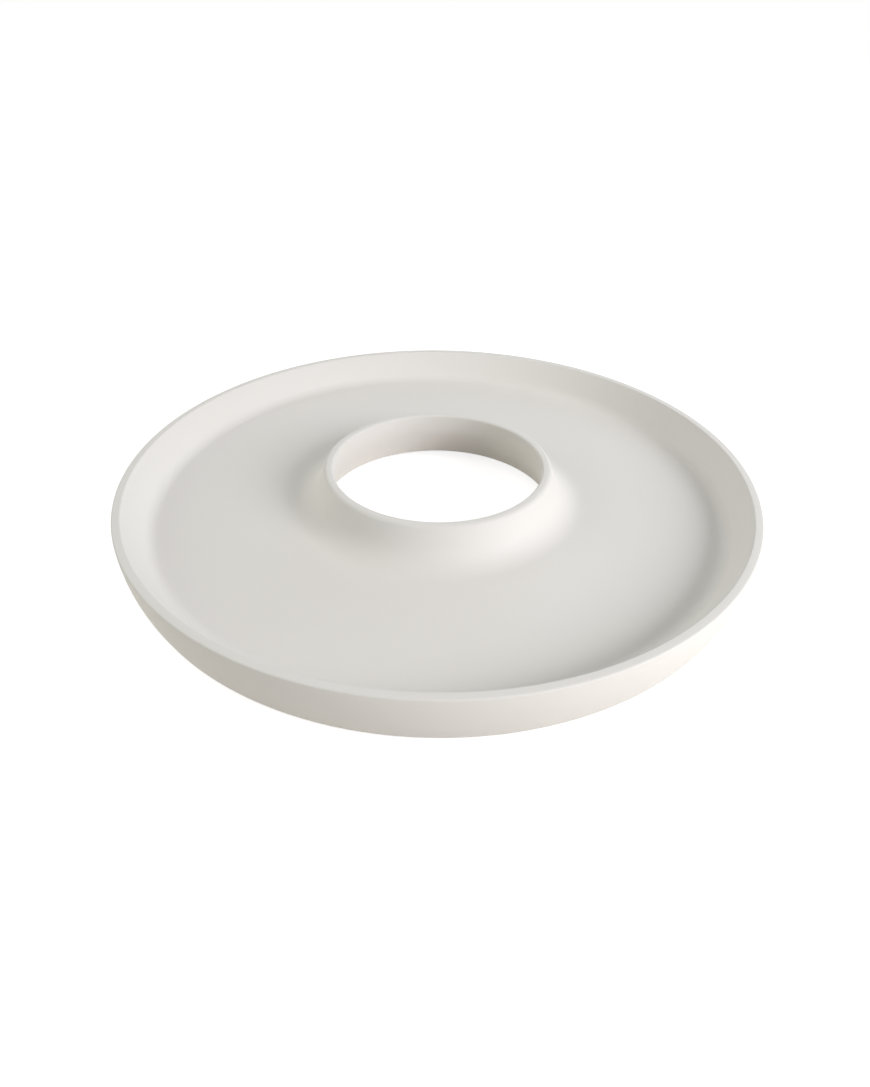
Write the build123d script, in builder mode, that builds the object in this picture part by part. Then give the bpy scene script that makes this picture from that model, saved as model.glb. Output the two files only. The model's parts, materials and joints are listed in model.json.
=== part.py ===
"""Candle plate: a round cast tray with a raised collar that a pillar candle stands in.

Sizes are in millimetres. The origin is on the table under the middle of the plate, and +Z points up.
"""

import os
from math import radians, tan

from build123d import *

# Candle that the collar takes
candle_diameter = 80.0
candle_clearance = 0.3  # all round, between the candle and the throat

# Rim and tray
rim_diameter = 240.0
rim_height = 21.7  # from the table to the top of the rim
rim_lip_width = 3.0
rim_edge_break = 0.5
tray_depth = 12.2  # from the top of the rim to the tray floor
inner_wall_run = 7.0  # how far the inner wall slopes in on its way to the floor
rim_cove_radius = 5.5
outer_wall_lean = 4.2  # how far the outer wall curves in on its way to the foot
base_edge_break = 1.8

# Collar and its throat
collar_rise = 1.8  # from the top of the rim to the top of the collar
collar_lip_width = 3.5
collar_inner_break = 0.8
collar_outer_break = 1.2
collar_slope_run = 5.4  # how far the collar spreads on its way to the floor
collar_cove_radius = 10.8
throat_land = 2.0  # straight stretch that centres the candle
throat_blend_radius = 20.0  # eases the straight stretch into the taper below it
mouth_taper = radians(23.0)  # slope of the taper, from upright

# Underside
foot_recess = 2.0
foot_ring_width = 9.0
recess_wall_run = 1.2

# Felt feet
felt_count = 4
felt_first_angle = 45.0
felt_diameter = 16.0
felt_thickness = 3.0
felt_inset = 4.0  # from the wall of the recess to the felt

# Heights above the table
underside_height = felt_thickness
foot_height = underside_height - foot_recess
floor_height = rim_height - tray_depth
collar_height = rim_height + collar_rise
land_bottom_height = collar_height - collar_inner_break - throat_land
taper_top_height = land_bottom_height - throat_blend_radius * tan(mouth_taper / 2)

# Radii, from the middle outwards
throat_radius = candle_diameter / 2 + candle_clearance
mouth_radius = throat_radius + (taper_top_height - underside_height) * tan(mouth_taper)
collar_lip_radius = throat_radius + collar_lip_width
collar_foot_radius = collar_lip_radius + collar_slope_run
rim_radius = rim_diameter / 2
rim_lip_radius = rim_radius - rim_lip_width
floor_edge_radius = rim_lip_radius - inner_wall_run
base_radius = rim_radius - outer_wall_lean
foot_ring_radius = base_radius - foot_ring_width
recess_radius = foot_ring_radius - recess_wall_run
felt_circle_radius = recess_radius - felt_inset - felt_diameter / 2

# Corners of the plate's section, as radius and height
taper_top = (throat_radius, taper_top_height)
collar_inner_edge = (throat_radius, collar_height)
collar_outer_edge = (collar_lip_radius, collar_height)
collar_foot = (collar_foot_radius, floor_height)
floor_edge = (floor_edge_radius, floor_height)
rim_inner_edge = (rim_lip_radius, rim_height)
rim_outer_edge = (rim_radius, rim_height)
base_edge = (base_radius, foot_height)
foot_ring_edge = (foot_ring_radius, foot_height)
recess_corner = (recess_radius, underside_height)
mouth_edge = (mouth_radius, underside_height)

blended_corners = [
    (taper_top, throat_blend_radius),
    (collar_foot, collar_cove_radius),
    (floor_edge, rim_cove_radius),
]
broken_edges = [
    (collar_inner_edge, collar_inner_break),
    (collar_outer_edge, collar_outer_break),
    (rim_inner_edge, rim_edge_break),
    (rim_outer_edge, rim_edge_break),
    (base_edge, base_edge_break),
]

os.makedirs("parts", exist_ok=True)

# Plate: one casting, turned from its section
with BuildPart() as plate_body:
    with BuildSketch(Plane.XZ) as section:
        with BuildLine():
            Polyline(
                taper_top,
                collar_inner_edge,
                collar_outer_edge,
                collar_foot,
                floor_edge,
                rim_inner_edge,
                rim_outer_edge,
            )
            # The outer wall leaves the rim straight down and curves in to the base
            TangentArc(rim_outer_edge, base_edge, tangent=(0, -1))
            Polyline(base_edge, foot_ring_edge, recess_corner, mouth_edge, taper_top)
        make_face()
        for corner, radius in blended_corners:
            fillet(section.vertices().sort_by_distance(corner)[0], radius)
        for corner, length in broken_edges:
            chamfer(section.vertices().sort_by_distance(corner)[0], length)
    revolve(axis=Axis.Z)
plate_body.part.label = "plate_body"
export_step(plate_body.part, "parts/plate_body.step")

# Felt feet: discs glued to the recessed underside, standing a little proud of the foot ring
felt_places = PolarLocations(felt_circle_radius, felt_count, felt_first_angle)
for number, place in enumerate(felt_places, start=1):
    with BuildPart() as felt_foot:
        with BuildSketch(Plane(place)):
            Circle(felt_diameter / 2)
        extrude(amount=felt_thickness)
    felt_foot.part.label = f"felt_foot_{number}"
    export_step(felt_foot.part, f"parts/felt_foot_{number}.step")
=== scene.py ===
"""Candle plate in matt off-white ceramic: a round tray with a raised collar, on felt feet."""

import json
import math

import bmesh
import bpy
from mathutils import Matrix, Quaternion, Vector


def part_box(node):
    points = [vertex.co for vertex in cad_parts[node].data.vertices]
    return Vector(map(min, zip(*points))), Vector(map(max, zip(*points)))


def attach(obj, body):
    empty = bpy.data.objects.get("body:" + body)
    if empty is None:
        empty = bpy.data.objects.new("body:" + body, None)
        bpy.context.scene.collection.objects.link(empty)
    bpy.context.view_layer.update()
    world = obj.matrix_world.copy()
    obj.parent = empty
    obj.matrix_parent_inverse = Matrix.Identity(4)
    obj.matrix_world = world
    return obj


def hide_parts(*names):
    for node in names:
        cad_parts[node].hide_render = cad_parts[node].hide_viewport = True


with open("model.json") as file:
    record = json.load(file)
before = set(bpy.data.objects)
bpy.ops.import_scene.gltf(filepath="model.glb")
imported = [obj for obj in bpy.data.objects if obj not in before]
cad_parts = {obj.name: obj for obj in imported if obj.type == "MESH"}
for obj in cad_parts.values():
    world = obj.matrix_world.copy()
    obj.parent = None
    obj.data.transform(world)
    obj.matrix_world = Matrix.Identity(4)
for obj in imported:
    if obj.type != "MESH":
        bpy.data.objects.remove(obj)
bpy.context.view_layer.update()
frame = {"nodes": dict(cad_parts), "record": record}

MM = 0.001

plate_low, plate_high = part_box("plate_body")
_, felt_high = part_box("felt_foot_1")
throat = next(mount for mount in frame["record"]["mounts"] if mount["name"] == "candle_throat")

# Plate section, from the frame
FOOT_HEIGHT = plate_low.z
COLLAR_HEIGHT = plate_high.z
UNDERSIDE_HEIGHT = felt_high.z
THROAT_RADIUS = throat["dims"]["r_mm"] * MM
LAND_BOTTOM = throat["pos_m"][2] - throat["dims"]["length_mm"] * MM / 2

# Plate section, sizes that the frame doesn't name
RIM_RADIUS = 120.0 * MM
RIM_HEIGHT = 21.7 * MM
RIM_LIP_WIDTH = 3.0 * MM
RIM_EDGE_ROUND = 0.6 * MM
TRAY_DEPTH = 12.2 * MM
INNER_WALL_RUN = 7.0 * MM
RIM_COVE_RADIUS = 5.5 * MM
OUTER_WALL_LEAN = 4.2 * MM
OUTER_WALL_ROUND = 0.8  # share of the wall's full curve, which leaves room for the rounds at its ends
BASE_EDGE_ROUND = 3.0 * MM
COLLAR_LIP_WIDTH = 3.5 * MM
COLLAR_INNER_ROUND = 1.0 * MM
COLLAR_OUTER_ROUND = 1.8 * MM
COLLAR_SLOPE_RUN = 5.4 * MM
COLLAR_COVE_RADIUS = 10.8 * MM
THROAT_BLEND_RADIUS = 20.0 * MM
MOUTH_TAPER = math.radians(23.0)
MOUTH_EDGE_ROUND = 0.5 * MM
FOOT_RING_WIDTH = 9.0 * MM
FOOT_EDGE_ROUND = 0.6 * MM
RECESS_WALL_RUN = 1.2 * MM
RECESS_COVE_RADIUS = 1.2 * MM
WIPED_RISE = 0.3 * MM  # how far up from the foot the glaze is wiped off

# Felt feet
FELT_RAGGEDNESS = 0.15 * MM
FIBRE_LENGTH = 1.2 * MM
FIBRE_RADIUS = 0.02 * MM
FIBRE_TILT = 1.2  # largest lean away from the felt's side, in radians
FIBRES_PER_SQUARE_METRE = 2.5e6

# Camera, floor and lamps
LENS = 24.55
CAMERA_PLACE = Vector((-1.18, -250.89, 167.43)) * MM
CAMERA_TARGET = Vector((-0.8, -21.29, 0.0)) * MM
CAMERA_ROLL = math.radians(0.54)
CAMERA_CLIP_START = 0.01
FLOOR_HALF_WIDTH = 3.0
FLOOR_BOUNCE = (0.80, 0.755, 0.695, 1)  # what the floor throws back at the plate
FLOOR_SHADE = (0.55, 0.55, 0.55, 1)  # what the camera sees of the light on the floor, on top of its glow
NEAR_GLOW, FAR_GLOW = 0.8, 1.0
NEAR_DISTANCE, FAR_DISTANCE = 0.25, 0.8  # from the middle of the plate, where those glows are reached
LAMP_DISTANCE = 0.9
WORLD_FILL = 0.230
WORLD_TINT = (1, 0.975, 0.963, 1)
WHITE = (1, 1, 1, 1)

MERGE_DISTANCE = 0.001 * MM


# Helpers for node trees and pieces


def add(tree, kind, inputs=None, **settings):
    """A node of that kind, with its settings, and its inputs set to values or linked to sockets."""
    made = tree.nodes.new(kind)
    for name, value in settings.items():
        setattr(made, name, value)
    for name, value in (inputs or {}).items():
        if isinstance(value, bpy.types.NodeSocket):
            tree.links.new(value, made.inputs[name])
        else:
            made.inputs[name].default_value = value
    return made


def math_node(tree, operation, first, second=0.0, clamp=False):
    made = add(tree, "ShaderNodeMath", {0: first, 1: second}, operation=operation, use_clamp=clamp)
    return made.outputs[0]


def add_socket(tree, name, kind, side="INPUT", default=None):
    socket = tree.interface.new_socket(name, in_out=side, socket_type=kind)
    if default is not None:
        socket.default_value = default


def take_off(tree, surface, noise, depth):
    """The surface with up to that depth taken off along its normals, so that it never grows."""
    inwards = math_node(tree, "MULTIPLY", noise, math_node(tree, "MULTIPLY", depth, -1.0))
    normal = add(tree, "GeometryNodeInputNormal").outputs[0]
    offset = add(tree, "ShaderNodeVectorMath", {0: normal, "Scale": inwards}, operation="SCALE")
    moved = add(tree, "GeometryNodeSetPosition", {"Geometry": surface, "Offset": offset.outputs[0]})
    return moved.outputs[0]


def link_object(name, data):
    made = bpy.data.objects.new(name, data)
    bpy.context.scene.collection.objects.link(made)
    return made


def build_piece(name, tree, values):
    """A plain mesh object made by running a Geometry Nodes tree with these input values."""
    seed = link_object(name + "_seed", bpy.data.meshes.new(name + "_seed"))
    modifier = seed.modifiers.new(name, "NODES")
    modifier.node_group = tree
    for item in tree.interface.items_tree:
        if item.item_type == "SOCKET" and item.in_out == "INPUT" and item.name in values:
            modifier[item.identifier] = values[item.name]
    depsgraph = bpy.context.evaluated_depsgraph_get()
    finished = bpy.data.meshes.new_from_object(seed.evaluated_get(depsgraph))
    finished.name = name
    seed.modifiers.remove(modifier)
    bpy.data.objects.remove(seed)
    close_mesh(finished)
    return link_object(name, finished)


def close_mesh(mesh):
    """Merges doubles and turns every face outwards."""
    shape = bmesh.new()
    shape.from_mesh(mesh)
    bmesh.ops.remove_doubles(shape, verts=shape.verts, dist=MERGE_DISTANCE)
    bmesh.ops.recalc_face_normals(shape, faces=shape.faces)
    shape.to_mesh(mesh)
    shape.free()


# Plate


def outer_wall_corner():
    """Height and rounding of the corner that bends the outer wall, which leaves the rim straight down."""
    drop = RIM_HEIGHT - FOOT_HEIGHT
    full_radius = (OUTER_WALL_LEAN**2 + drop**2) / (2 * OUTER_WALL_LEAN)
    bend = math.asin(drop / full_radius)
    return RIM_HEIGHT - full_radius * math.tan(bend / 2), full_radius * OUTER_WALL_ROUND


def section_corners():
    """The section as (radius, height, rounding), from the collar's lip outwards and back underneath."""
    rim_lip = RIM_RADIUS - RIM_LIP_WIDTH
    floor = RIM_HEIGHT - TRAY_DEPTH
    collar_lip = THROAT_RADIUS + COLLAR_LIP_WIDTH
    base = RIM_RADIUS - OUTER_WALL_LEAN
    foot_ring = base - FOOT_RING_WIDTH
    wall_height, wall_round = outer_wall_corner()
    taper_top = LAND_BOTTOM - THROAT_BLEND_RADIUS * math.tan(MOUTH_TAPER / 2)
    mouth = THROAT_RADIUS + (taper_top - UNDERSIDE_HEIGHT) * math.tan(MOUTH_TAPER)
    return [
        (THROAT_RADIUS, COLLAR_HEIGHT, COLLAR_INNER_ROUND),
        (collar_lip, COLLAR_HEIGHT, COLLAR_OUTER_ROUND),
        (collar_lip + COLLAR_SLOPE_RUN, floor, COLLAR_COVE_RADIUS),
        (rim_lip - INNER_WALL_RUN, floor, RIM_COVE_RADIUS),
        (rim_lip, RIM_HEIGHT, RIM_EDGE_ROUND),
        (RIM_RADIUS, RIM_HEIGHT, RIM_EDGE_ROUND),
        (RIM_RADIUS, wall_height, wall_round),
        (base, FOOT_HEIGHT, BASE_EDGE_ROUND),
        (foot_ring, FOOT_HEIGHT, FOOT_EDGE_ROUND),
        (foot_ring - RECESS_WALL_RUN, UNDERSIDE_HEIGHT, RECESS_COVE_RADIUS),
        (mouth, UNDERSIDE_HEIGHT, MOUTH_EDGE_ROUND),
        (THROAT_RADIUS, taper_top, THROAT_BLEND_RADIUS),
    ]


def make_section():
    """The section's corners as a closed loop of edges, with each corner's rounding kept as an attribute."""
    corners = section_corners()
    mesh = bpy.data.meshes.new("plate_section")
    count = len(corners)
    edges = [(index, (index + 1) % count) for index in range(count)]
    mesh.from_pydata([(radius, 0, height) for radius, height, _ in corners], edges, [])
    rounding = mesh.attributes.new("rounding", "FLOAT", "POINT")
    rounding.data.foreach_set("value", [corner[2] for corner in corners])
    return link_object("plate_section", mesh)


def rounded_profile(tree, given):
    """The section as a curve with rounded corners and points all along it, laid where the sweep needs it."""
    outline = add(tree, "GeometryNodeObjectInfo", {"Object": given["Section"]})
    curve = add(tree, "GeometryNodeMeshToCurve", {"Mesh": outline.outputs["Geometry"]})
    rounding = add(tree, "GeometryNodeInputNamedAttribute", {"Name": "rounding"}, data_type="FLOAT")
    rounded = add(
        tree,
        "GeometryNodeFilletCurve",
        {
            "Curve": curve.outputs[0],
            "Radius": rounding.outputs["Attribute"],
            "Count": given["Corner Steps"],
            "Limit Radius": True,
        },
        mode="POLY",
    )

    # Long straight stretches get extra points, a step length apart
    position = add(tree, "GeometryNodeInputPosition").outputs[0]
    index = add(tree, "GeometryNodeInputIndex").outputs[0]
    following = add(tree, "GeometryNodeOffsetPointInCurve", {"Point Index": index, "Offset": 1})
    following_place = add(
        tree,
        "GeometryNodeFieldAtIndex",
        {"Index": following.outputs["Point Index"], "Value": position},
        data_type="FLOAT_VECTOR",
        domain="POINT",
    )
    gap = add(
        tree, "ShaderNodeVectorMath", {0: position, 1: following_place.outputs[0]}, operation="DISTANCE"
    ).outputs["Value"]
    cuts = math_node(tree, "FLOOR", math_node(tree, "DIVIDE", gap, given["Step Length"]))
    stepped = add(tree, "GeometryNodeSubdivideCurve", {"Curve": rounded.outputs[0], "Cuts": cuts})

    # The section stands in the XZ plane; a swept profile lies in XY, with its Y pointing down
    shift = math_node(tree, "MULTIPLY", given["Path Radius"], -1.0)
    inwards = add(tree, "ShaderNodeCombineXYZ", {"X": shift})
    profile = add(
        tree,
        "GeometryNodeTransform",
        {
            "Geometry": stepped.outputs[0],
            "Translation": inwards.outputs[0],
            "Rotation": (math.pi / 2, 0, 0),
        },
    )
    return profile.outputs[0]


def turned_plate_tree():
    """Rounds a section's corners, turns it about Z and makes the surface faintly uneven, as casting does."""
    tree = bpy.data.node_groups.new("turned_plate", "GeometryNodeTree")
    add_socket(tree, "Section", "NodeSocketObject")
    add_socket(tree, "Path Radius", "NodeSocketFloat")
    add_socket(tree, "Steps Round", "NodeSocketInt")
    add_socket(tree, "Corner Steps", "NodeSocketInt")
    add_socket(tree, "Step Length", "NodeSocketFloat")
    add_socket(tree, "Unevenness", "NodeSocketFloat")
    add_socket(tree, "Uneven Scale", "NodeSocketFloat")
    add_socket(tree, "Wiped Height", "NodeSocketFloat")
    add_socket(tree, "Glaze", "NodeSocketMaterial")
    add_socket(tree, "Biscuit", "NodeSocketMaterial")
    add_socket(tree, "Geometry", "NodeSocketGeometry", side="OUTPUT")
    given = add(tree, "NodeGroupInput").outputs

    profile = rounded_profile(tree, given)
    circle = add(
        tree,
        "GeometryNodeCurvePrimitiveCircle",
        {"Resolution": given["Steps Round"], "Radius": given["Path Radius"]},
        mode="RADIUS",
    )
    path = add(tree, "GeometryNodeSetCurveNormal", {"Curve": circle.outputs[0]}, mode="Z_UP")
    turned = add(tree, "GeometryNodeCurveToMesh", {"Curve": path.outputs[0], "Profile Curve": profile})
    waves = add(tree, "ShaderNodeTexNoise", {"Scale": given["Uneven Scale"], "Detail": 2.0})
    uneven = take_off(tree, turned.outputs[0], waves.outputs[0], given["Unevenness"])
    smooth = add(tree, "GeometryNodeSetShadeSmooth", {"Geometry": uneven})
    real = add(tree, "GeometryNodeRealizeInstances", {"Geometry": smooth.outputs[0]})
    glazed = add(tree, "GeometryNodeSetMaterial", {"Geometry": real.outputs[0], "Material": given["Glaze"]})

    # The foot ring is wiped clean of glaze before firing
    position = add(tree, "GeometryNodeInputPosition").outputs[0]
    height = add(tree, "ShaderNodeSeparateXYZ", {0: position}).outputs["Z"]
    wiped = add(
        tree, "FunctionNodeCompare", {"A": height, "B": given["Wiped Height"]}, operation="LESS_THAN"
    )
    footed = add(
        tree,
        "GeometryNodeSetMaterial",
        {"Geometry": glazed.outputs[0], "Selection": wiped.outputs[0], "Material": given["Biscuit"]},
    )
    add(tree, "NodeGroupOutput", {"Geometry": footed.outputs[0]})
    return tree


def make_plate(glaze, biscuit):
    section = make_section()
    plate = build_piece(
        "plate",
        turned_plate_tree(),
        {
            "Section": section,
            "Path Radius": THROAT_RADIUS,
            "Steps Round": 360,
            "Corner Steps": 8,
            "Step Length": 2.0 * MM,
            "Unevenness": 0.10 * MM,
            "Uneven Scale": 14.0,
            "Wiped Height": FOOT_HEIGHT + WIPED_RISE,
            "Glaze": glaze,
            "Biscuit": biscuit,
        },
    )
    bpy.data.objects.remove(section)
    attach(plate, "root")
    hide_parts("plate_body")


# Materials


def new_material(name):
    """A node material with its Principled shader, which has its output linked."""
    material = bpy.data.materials.new(name)
    material.use_nodes = True
    tree = material.node_tree
    tree.nodes.clear()
    shader = add(tree, "ShaderNodeBsdfPrincipled")
    add(tree, "ShaderNodeOutputMaterial", {"Surface": shader.outputs[0]})
    return material, tree, shader


def mix_colours(tree, share, first, second):
    made = add(tree, "ShaderNodeMix", {0: share, 6: first, 7: second}, data_type="RGBA")
    return made.outputs[2]


def fired_clay_group():
    """Clouding, mottling, grain and pinholes of fired clay, over object coordinates in metres."""
    tree = bpy.data.node_groups.new("fired_clay", "ShaderNodeTree")
    add_socket(tree, "Place", "NodeSocketVector")
    add_socket(tree, "Cloud Scale", "NodeSocketFloat", default=20.0)
    add_socket(tree, "Mottle Scale", "NodeSocketFloat", default=180.0)
    add_socket(tree, "Grain Scale", "NodeSocketFloat", default=2600.0)
    add_socket(tree, "Pinhole Scale", "NodeSocketFloat", default=70.0)
    add_socket(tree, "Pinhole Size", "NodeSocketFloat", default=0.016)
    add_socket(tree, "Pinhole Depth", "NodeSocketFloat", default=3.0)
    add_socket(tree, "Pinhole Rarity", "NodeSocketFloat", default=0.72)
    add_socket(tree, "Cloud", "NodeSocketFloat", side="OUTPUT")
    add_socket(tree, "Mottle", "NodeSocketFloat", side="OUTPUT")
    add_socket(tree, "Height", "NodeSocketFloat", side="OUTPUT")
    add_socket(tree, "Pinholes", "NodeSocketFloat", side="OUTPUT")
    given = add(tree, "NodeGroupInput").outputs
    place = given["Place"]

    def noise(scale, detail):
        made = add(tree, "ShaderNodeTexNoise", {"Vector": place, "Scale": scale, "Detail": detail})
        return made.outputs[0]

    cloud = noise(given["Cloud Scale"], 3.0)
    mottle = noise(given["Mottle Scale"], 2.0)
    grain = noise(given["Grain Scale"], 2.0)

    # Each cell draws a number, and only those that draw a high one get a pinhole in their middle
    cells = add(tree, "ShaderNodeTexVoronoi", {"Vector": place, "Scale": given["Pinhole Scale"]})
    draw = add(tree, "ShaderNodeSeparateColor", {0: cells.outputs["Color"]}).outputs[0]
    chosen = math_node(tree, "GREATER_THAN", draw, given["Pinhole Rarity"])
    near = math_node(tree, "DIVIDE", cells.outputs["Distance"], given["Pinhole Size"])
    hole = math_node(tree, "MULTIPLY", math_node(tree, "SUBTRACT", 1.0, near, clamp=True), chosen)
    height = math_node(tree, "SUBTRACT", grain, math_node(tree, "MULTIPLY", hole, given["Pinhole Depth"]))
    outputs = {"Cloud": cloud, "Mottle": mottle, "Height": height, "Pinholes": hole}
    add(tree, "NodeGroupOutput", outputs)
    return tree


def clay_material(name, group, light, warm, painted_pit_shade, roughness, bump, grain_scale):
    """Fired clay: two close tones clouded together, pinholes darkened with painted shade and a fine grain.
    """
    roughness_spread = 0.06
    material, tree, shader = new_material(name)
    place = add(tree, "ShaderNodeTexCoord").outputs["Object"]
    clay = add(tree, "ShaderNodeGroup", {"Place": place, "Grain Scale": grain_scale}, node_tree=group)
    tone = mix_colours(tree, clay.outputs["Cloud"], light, warm)
    # The pinholes get a darker colour: painted shade in the tiny pits, on top of their bump
    pit_shaded_tone = mix_colours(tree, clay.outputs["Pinholes"], tone, painted_pit_shade)
    tree.links.new(pit_shaded_tone, shader.inputs["Base Color"])
    rough = add(
        tree,
        "ShaderNodeMapRange",
        {
            "Value": clay.outputs["Mottle"],
            "To Min": roughness - roughness_spread,
            "To Max": roughness + roughness_spread,
        },
    ).outputs[0]
    tree.links.new(rough, shader.inputs["Roughness"])
    relief = add(
        tree,
        "ShaderNodeBump",
        {"Height": clay.outputs["Height"], "Strength": bump, "Distance": 0.05 * MM},
    )
    tree.links.new(relief.outputs[0], shader.inputs["Normal"])
    shader.inputs["Specular IOR Level"].default_value = 0.35
    return material


def felt_material(name, dark, light):
    """Pressed wool: tangled light and dark fibres with a soft sheen."""
    material, tree, shader = new_material(name)
    place = add(tree, "ShaderNodeTexCoord").outputs["Object"]
    tangle = add(
        tree,
        "ShaderNodeTexNoise",
        {"Vector": place, "Scale": 1500.0, "Detail": 5.0, "Roughness": 0.7, "Distortion": 1.5},
    ).outputs[0]
    clumps = add(
        tree, "ShaderNodeTexNoise", {"Vector": place, "Scale": 260.0, "Detail": 3.0}
    ).outputs[0]
    mixed = math_node(tree, "MULTIPLY", math_node(tree, "ADD", tangle, clumps), 0.5)
    contrast = add(
        tree, "ShaderNodeMapRange", {"Value": mixed, "From Min": 0.35, "From Max": 0.65}
    ).outputs[0]
    tree.links.new(mix_colours(tree, contrast, dark, light), shader.inputs["Base Color"])
    relief = add(tree, "ShaderNodeBump", {"Height": mixed, "Strength": 0.7, "Distance": 0.3 * MM})
    tree.links.new(relief.outputs[0], shader.inputs["Normal"])
    shader.inputs["Roughness"].default_value = 0.95
    shader.inputs["Specular IOR Level"].default_value = 0.15
    shader.inputs["Sheen Weight"].default_value = 0.4
    shader.inputs["Sheen Roughness"].default_value = 0.5
    return material


# Felt feet


def ragged_disc(tree, given):
    """A die-cut disc whose surface is slightly uneven."""
    disc = add(
        tree,
        "GeometryNodeMeshCylinder",
        {
            "Vertices": given["Steps Round"],
            "Side Segments": given["Side Steps"],
            "Fill Segments": given["Face Steps"],
            "Radius": given["Radius"],
            "Depth": given["Thickness"],
        },
    )
    placed = add(
        tree,
        "GeometryNodeTransform",
        {"Geometry": disc.outputs["Mesh"], "Translation": given["Centre"]},
    )
    position = add(tree, "GeometryNodeInputPosition").outputs[0]
    ragged = add(
        tree,
        "ShaderNodeTexNoise",
        {"Vector": position, "W": given["Seed"], "Scale": given["Ragged Scale"], "Detail": 3.0},
        noise_dimensions="4D",
    ).outputs[0]
    return take_off(tree, placed.outputs[0], ragged, given["Raggedness"])


def loose_fibres(tree, given, disc):
    """Fibres that stand out from the disc's side, each a thin three-sided strand."""
    # Only the side carries fibres, where the normal is more level than upright
    normal = add(tree, "GeometryNodeInputNormal").outputs[0]
    upright = math_node(tree, "ABSOLUTE", add(tree, "ShaderNodeSeparateXYZ", {0: normal}).outputs["Z"])
    side = add(tree, "FunctionNodeCompare", {"A": upright, "B": 0.5}, operation="LESS_THAN")
    roots = add(
        tree,
        "GeometryNodeDistributePointsOnFaces",
        {
            "Mesh": disc,
            "Selection": side.outputs[0],
            "Density": given["Fibres Per Area"],
            "Seed": given["Seed"],
        },
    )
    line = add(
        tree,
        "GeometryNodeCurvePrimitiveLine",
        {"Length": given["Fibre Length"], "Direction": (0, 0, 1)},
        mode="DIRECTION",
    )
    triangle = add(
        tree, "GeometryNodeCurvePrimitiveCircle", {"Resolution": 3, "Radius": given["Fibre Radius"]}
    )
    strand = add(
        tree,
        "GeometryNodeCurveToMesh",
        {"Curve": line.outputs[0], "Profile Curve": triangle.outputs[0], "Fill Caps": True},
    )
    tilt = add(
        tree,
        "FunctionNodeRandomValue",
        {
            0: (-FIBRE_TILT, -FIBRE_TILT, -math.pi),
            1: (FIBRE_TILT, FIBRE_TILT, math.pi),
            "Seed": given["Seed"],
        },
        data_type="FLOAT_VECTOR",
    )
    lean = add(
        tree,
        "FunctionNodeRotateRotation",
        {0: roots.outputs["Rotation"], 1: tilt.outputs[0]},
        rotation_space="LOCAL",
    )
    fibres = add(
        tree,
        "GeometryNodeInstanceOnPoints",
        {"Points": roots.outputs["Points"], "Instance": strand.outputs[0], "Rotation": lean.outputs[0]},
    )
    loose = add(tree, "GeometryNodeRealizeInstances", {"Geometry": fibres.outputs[0]})

    # Nothing reaches below the table or above the glued face
    position = add(tree, "GeometryNodeInputPosition").outputs[0]
    parts = add(tree, "ShaderNodeSeparateXYZ", {0: position}).outputs
    above_table = math_node(tree, "MAXIMUM", parts["Z"], 0.0)
    below_glue = math_node(tree, "MINIMUM", above_table, given["Thickness"])
    kept = add(tree, "ShaderNodeCombineXYZ", {"X": parts["X"], "Y": parts["Y"], "Z": below_glue})
    pressed = add(
        tree, "GeometryNodeSetPosition", {"Geometry": loose.outputs[0], "Position": kept.outputs[0]}
    )
    return pressed.outputs[0]


def felt_foot_tree():
    """A die-cut felt disc with a slightly uneven edge and loose fibres on its side."""
    tree = bpy.data.node_groups.new("felt_disc", "GeometryNodeTree")
    add_socket(tree, "Radius", "NodeSocketFloat")
    add_socket(tree, "Thickness", "NodeSocketFloat")
    add_socket(tree, "Centre", "NodeSocketVector")
    add_socket(tree, "Steps Round", "NodeSocketInt")
    add_socket(tree, "Side Steps", "NodeSocketInt")
    add_socket(tree, "Face Steps", "NodeSocketInt")
    add_socket(tree, "Raggedness", "NodeSocketFloat")
    add_socket(tree, "Ragged Scale", "NodeSocketFloat")
    add_socket(tree, "Fibre Length", "NodeSocketFloat")
    add_socket(tree, "Fibre Radius", "NodeSocketFloat")
    add_socket(tree, "Fibres Per Area", "NodeSocketFloat")
    add_socket(tree, "Seed", "NodeSocketInt")
    add_socket(tree, "Felt", "NodeSocketMaterial")
    add_socket(tree, "Geometry", "NodeSocketGeometry", side="OUTPUT")
    given = add(tree, "NodeGroupInput").outputs

    disc = ragged_disc(tree, given)
    whole = add(tree, "GeometryNodeJoinGeometry")
    tree.links.new(loose_fibres(tree, given, disc), whole.inputs[0])
    tree.links.new(disc, whole.inputs[0])
    smooth = add(tree, "GeometryNodeSetShadeSmooth", {"Geometry": whole.outputs[0]})
    real = add(tree, "GeometryNodeRealizeInstances", {"Geometry": smooth.outputs[0]})
    felted = add(tree, "GeometryNodeSetMaterial", {"Geometry": real.outputs[0], "Material": given["Felt"]})
    add(tree, "NodeGroupOutput", {"Geometry": felted.outputs[0]})
    return tree


def make_felt_feet(felt):
    tree = felt_foot_tree()
    feet = sorted(name for name in frame["nodes"] if name.startswith("felt_foot"))
    for number, node in enumerate(feet, start=1):
        low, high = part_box(node)
        foot = build_piece(
            f"felt_{number}",
            tree,
            {
                "Radius": (high.x - low.x) / 2,
                "Thickness": high.z - low.z,
                "Centre": (low + high) / 2,
                "Steps Round": 96,
                "Side Steps": 8,
                "Face Steps": 10,
                "Raggedness": FELT_RAGGEDNESS,
                "Ragged Scale": 700.0,
                "Fibre Length": FIBRE_LENGTH,
                "Fibre Radius": FIBRE_RADIUS,
                "Fibres Per Area": FIBRES_PER_SQUARE_METRE,
                "Seed": number,
                "Felt": felt,
            },
        )
        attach(foot, "root")
        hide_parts(node)


# Studio


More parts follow.
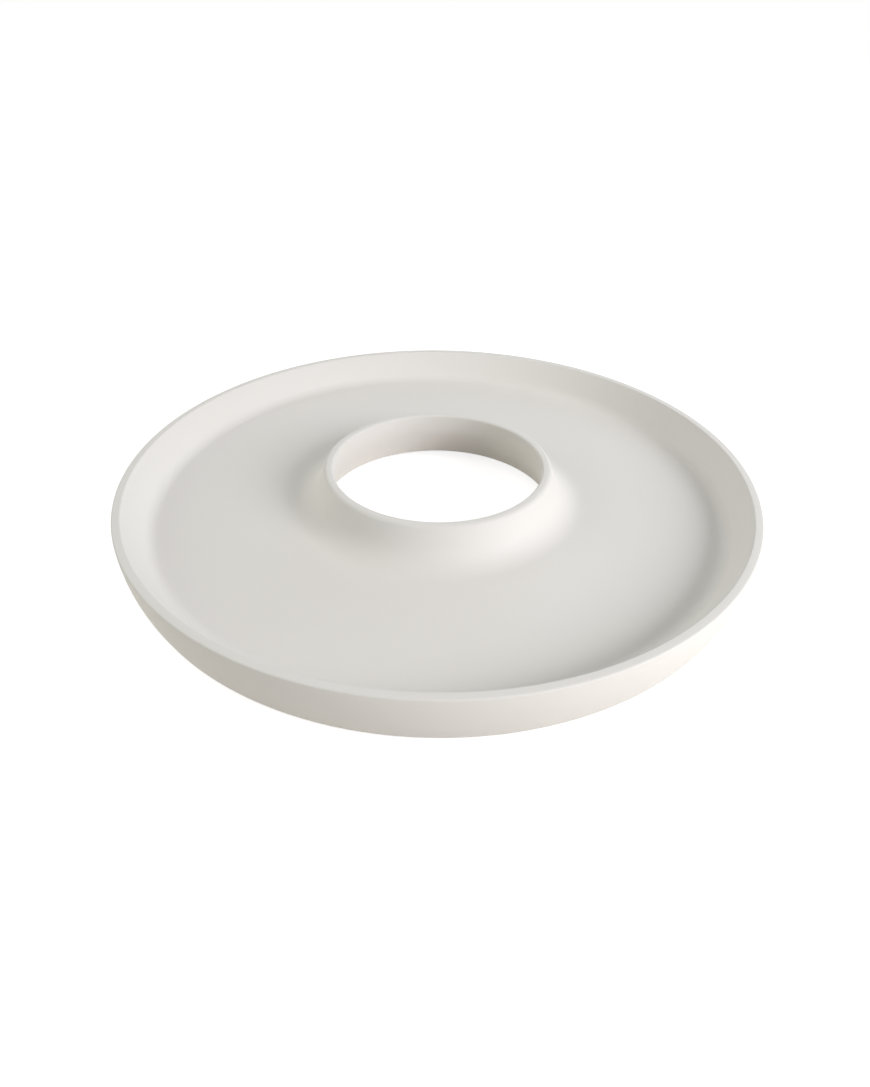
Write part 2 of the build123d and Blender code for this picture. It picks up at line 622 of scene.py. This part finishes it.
def make_camera():
    data = bpy.data.cameras.new("camera")
    data.lens = LENS
    data.clip_start = CAMERA_CLIP_START
    camera = link_object("camera", data)
    camera.location = CAMERA_PLACE
    aim = (CAMERA_TARGET - CAMERA_PLACE).to_track_quat("-Z", "Y")
    camera.rotation_mode = "QUATERNION"
    camera.rotation_quaternion = aim @ Quaternion((0, 0, 1), CAMERA_ROLL)
    bpy.context.scene.camera = camera


def seen_directly(tree):
    """1 for rays that show the surroundings as they are, 0 for those that only carry light."""
    path = add(tree, "ShaderNodeLightPath").outputs
    shown = math_node(tree, "MAXIMUM", path["Is Camera Ray"], path["Is Glossy Ray"])
    return math_node(tree, "MAXIMUM", shown, path["Is Transmission Ray"])


def make_world():
    """White where it is seen, and a dimmer even light on the plate."""
    world = bpy.data.worlds.new("studio")
    bpy.context.scene.world = world
    world.use_nodes = True
    tree = world.node_tree
    tree.nodes.clear()
    light = add(tree, "ShaderNodeBackground", {"Color": WORLD_TINT, "Strength": WORLD_FILL})
    backdrop = add(tree, "ShaderNodeBackground", {"Color": WHITE, "Strength": 1.0})
    mixed = add(
        tree, "ShaderNodeMixShader", {0: seen_directly(tree), 1: light.outputs[0], 2: backdrop.outputs[0]}
    )
    add(tree, "ShaderNodeOutputWorld", {"Surface": mixed.outputs[0]})


def floor_material():
    """Glows white where it is seen, so that only a deep shadow shows, and reflects light like paper."""
    material = bpy.data.materials.new("white_floor")
    material.use_nodes = True
    tree = material.node_tree
    tree.nodes.clear()
    plain = add(tree, "ShaderNodeBsdfDiffuse", {"Color": FLOOR_BOUNCE})
    place = add(tree, "ShaderNodeTexCoord").outputs["Object"]
    away = add(tree, "ShaderNodeVectorMath", {0: place}, operation="LENGTH").outputs["Value"]
    strength = add(
        tree,
        "ShaderNodeMapRange",
        {
            "Value": away,
            "From Min": NEAR_DISTANCE,
            "From Max": FAR_DISTANCE,
            "To Min": NEAR_GLOW,
            "To Max": FAR_GLOW,
        },
    ).outputs[0]
    glow = add(tree, "ShaderNodeEmission", {"Color": WHITE, "Strength": strength})
    shade = add(tree, "ShaderNodeBsdfDiffuse", {"Color": FLOOR_SHADE})
    shown = add(tree, "ShaderNodeAddShader", {0: glow.outputs[0], 1: shade.outputs[0]})
    mixed = add(
        tree, "ShaderNodeMixShader", {0: seen_directly(tree), 1: plain.outputs[0], 2: shown.outputs[0]}
    )
    add(tree, "ShaderNodeOutputMaterial", {"Surface": mixed.outputs[0]})
    return material


def make_floor():
    mesh = bpy.data.meshes.new("floor")
    sides = ((-1, -1), (1, -1), (1, 1), (-1, 1))
    mesh.from_pydata([(x * FLOOR_HALF_WIDTH, y * FLOOR_HALF_WIDTH, 0) for x, y in sides], [], [(0, 1, 2, 3)])
    mesh.materials.append(floor_material())
    link_object("floor", mesh)


def make_softbox(name, azimuth, elevation, width, height, power, tint):
    """A rectangular lamp that faces the plate from that direction, azimuth 0 being the right-hand side."""
    data = bpy.data.lights.new(name, "AREA")
    data.shape = "RECTANGLE"
    data.size = width
    data.size_y = height
    data.energy = power
    data.color = tint
    lamp = link_object(name, data)
    turn, rise = math.radians(azimuth), math.radians(elevation)
    direction = Vector((math.cos(turn) * math.cos(rise), math.sin(turn) * math.cos(rise), math.sin(rise)))
    lamp.location = direction * LAMP_DISTANCE
    lamp.rotation_mode = "QUATERNION"
    lamp.rotation_quaternion = (-direction).to_track_quat("-Z", "Y")


bpy.context.scene.view_settings.view_transform = "Standard"
fired_clay = fired_clay_group()
matt_glaze = clay_material(
    "matt_glaze",
    fired_clay,
    light=(0.803, 0.782, 0.760, 1),
    warm=(0.793, 0.768, 0.742, 1),
    # painted shade for the glaze's pinholes
    painted_pit_shade=(0.45, 0.40, 0.35, 1),
    roughness=0.62,
    bump=0.10,
    grain_scale=2600.0,
)
bare_biscuit = clay_material(
    "bare_biscuit",
    fired_clay,
    light=(0.74, 0.69, 0.62, 1),
    warm=(0.68, 0.62, 0.54, 1),
    # painted shade for the biscuit's pinholes
    painted_pit_shade=(0.38, 0.32, 0.26, 1),
    roughness=0.88,
    bump=0.35,
    grain_scale=1800.0,
)
grey_felt = felt_material("grey_felt", dark=(0.25, 0.24, 0.225, 1), light=(0.50, 0.48, 0.45, 1))
make_plate(matt_glaze, bare_biscuit)
make_felt_feet(grey_felt)
make_camera()
make_world()
make_floor()
make_softbox("key", -31.8, 26.8, width=0.45, height=0.40, power=6.48, tint=(0.992, 0.993, 1))
make_softbox("left_fill", 183.5, 27, width=0.70, height=0.55, power=2.21, tint=(0.992, 1, 0.858))
make_softbox("back_fill", 110, 52.5, width=0.70, height=0.50, power=1.50, tint=(1, 1, 0.99))
make_softbox("far_fill", 67.5, 22.5, width=0.60, height=0.30, power=0.80, tint=(0.724, 0.938, 1))
make_softbox("front_fill", 252.5, 9, width=0.70, height=0.25, power=0.352, tint=(0.74, 0.91, 1))
